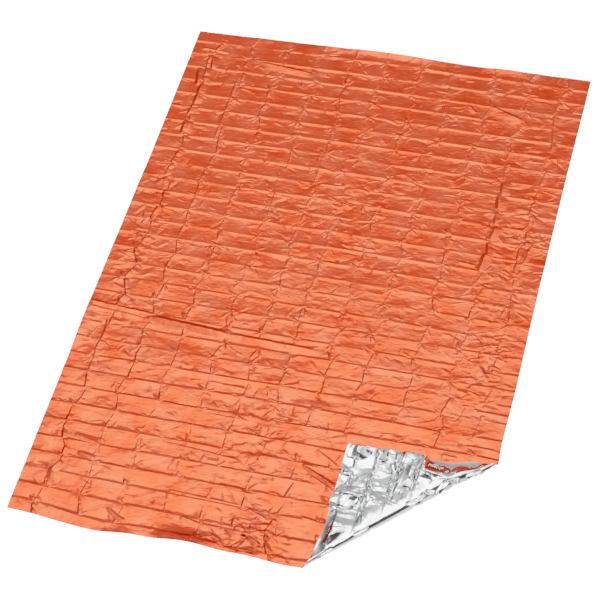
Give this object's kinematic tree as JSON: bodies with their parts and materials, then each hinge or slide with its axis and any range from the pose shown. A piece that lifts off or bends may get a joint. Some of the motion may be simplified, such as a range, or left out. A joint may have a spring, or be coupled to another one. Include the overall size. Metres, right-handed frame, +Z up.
{
  "type": "emergency foil blanket",
  "caption": "Thin metallised film blanket laid out flat with a brick pattern of pack creases, orange side up, one corner turned over to show the silver side.",
  "frame": {"origin": "centre of the sheet's outline, on the surface that it lies on", "axes": "+Y along the sheet, away from the turned corner; +X across it, towards the turned corner's side; +Z up"},
  "size_m": [1.4181, 2.1231, 0.0432],
  "materials": {
    "film": "creased satin metallised film, orange on its upper side and silver on its other side"
  },
  "bodies": {
    "root": {"foil_sheet": "film"}
  },
  "joints": []
}
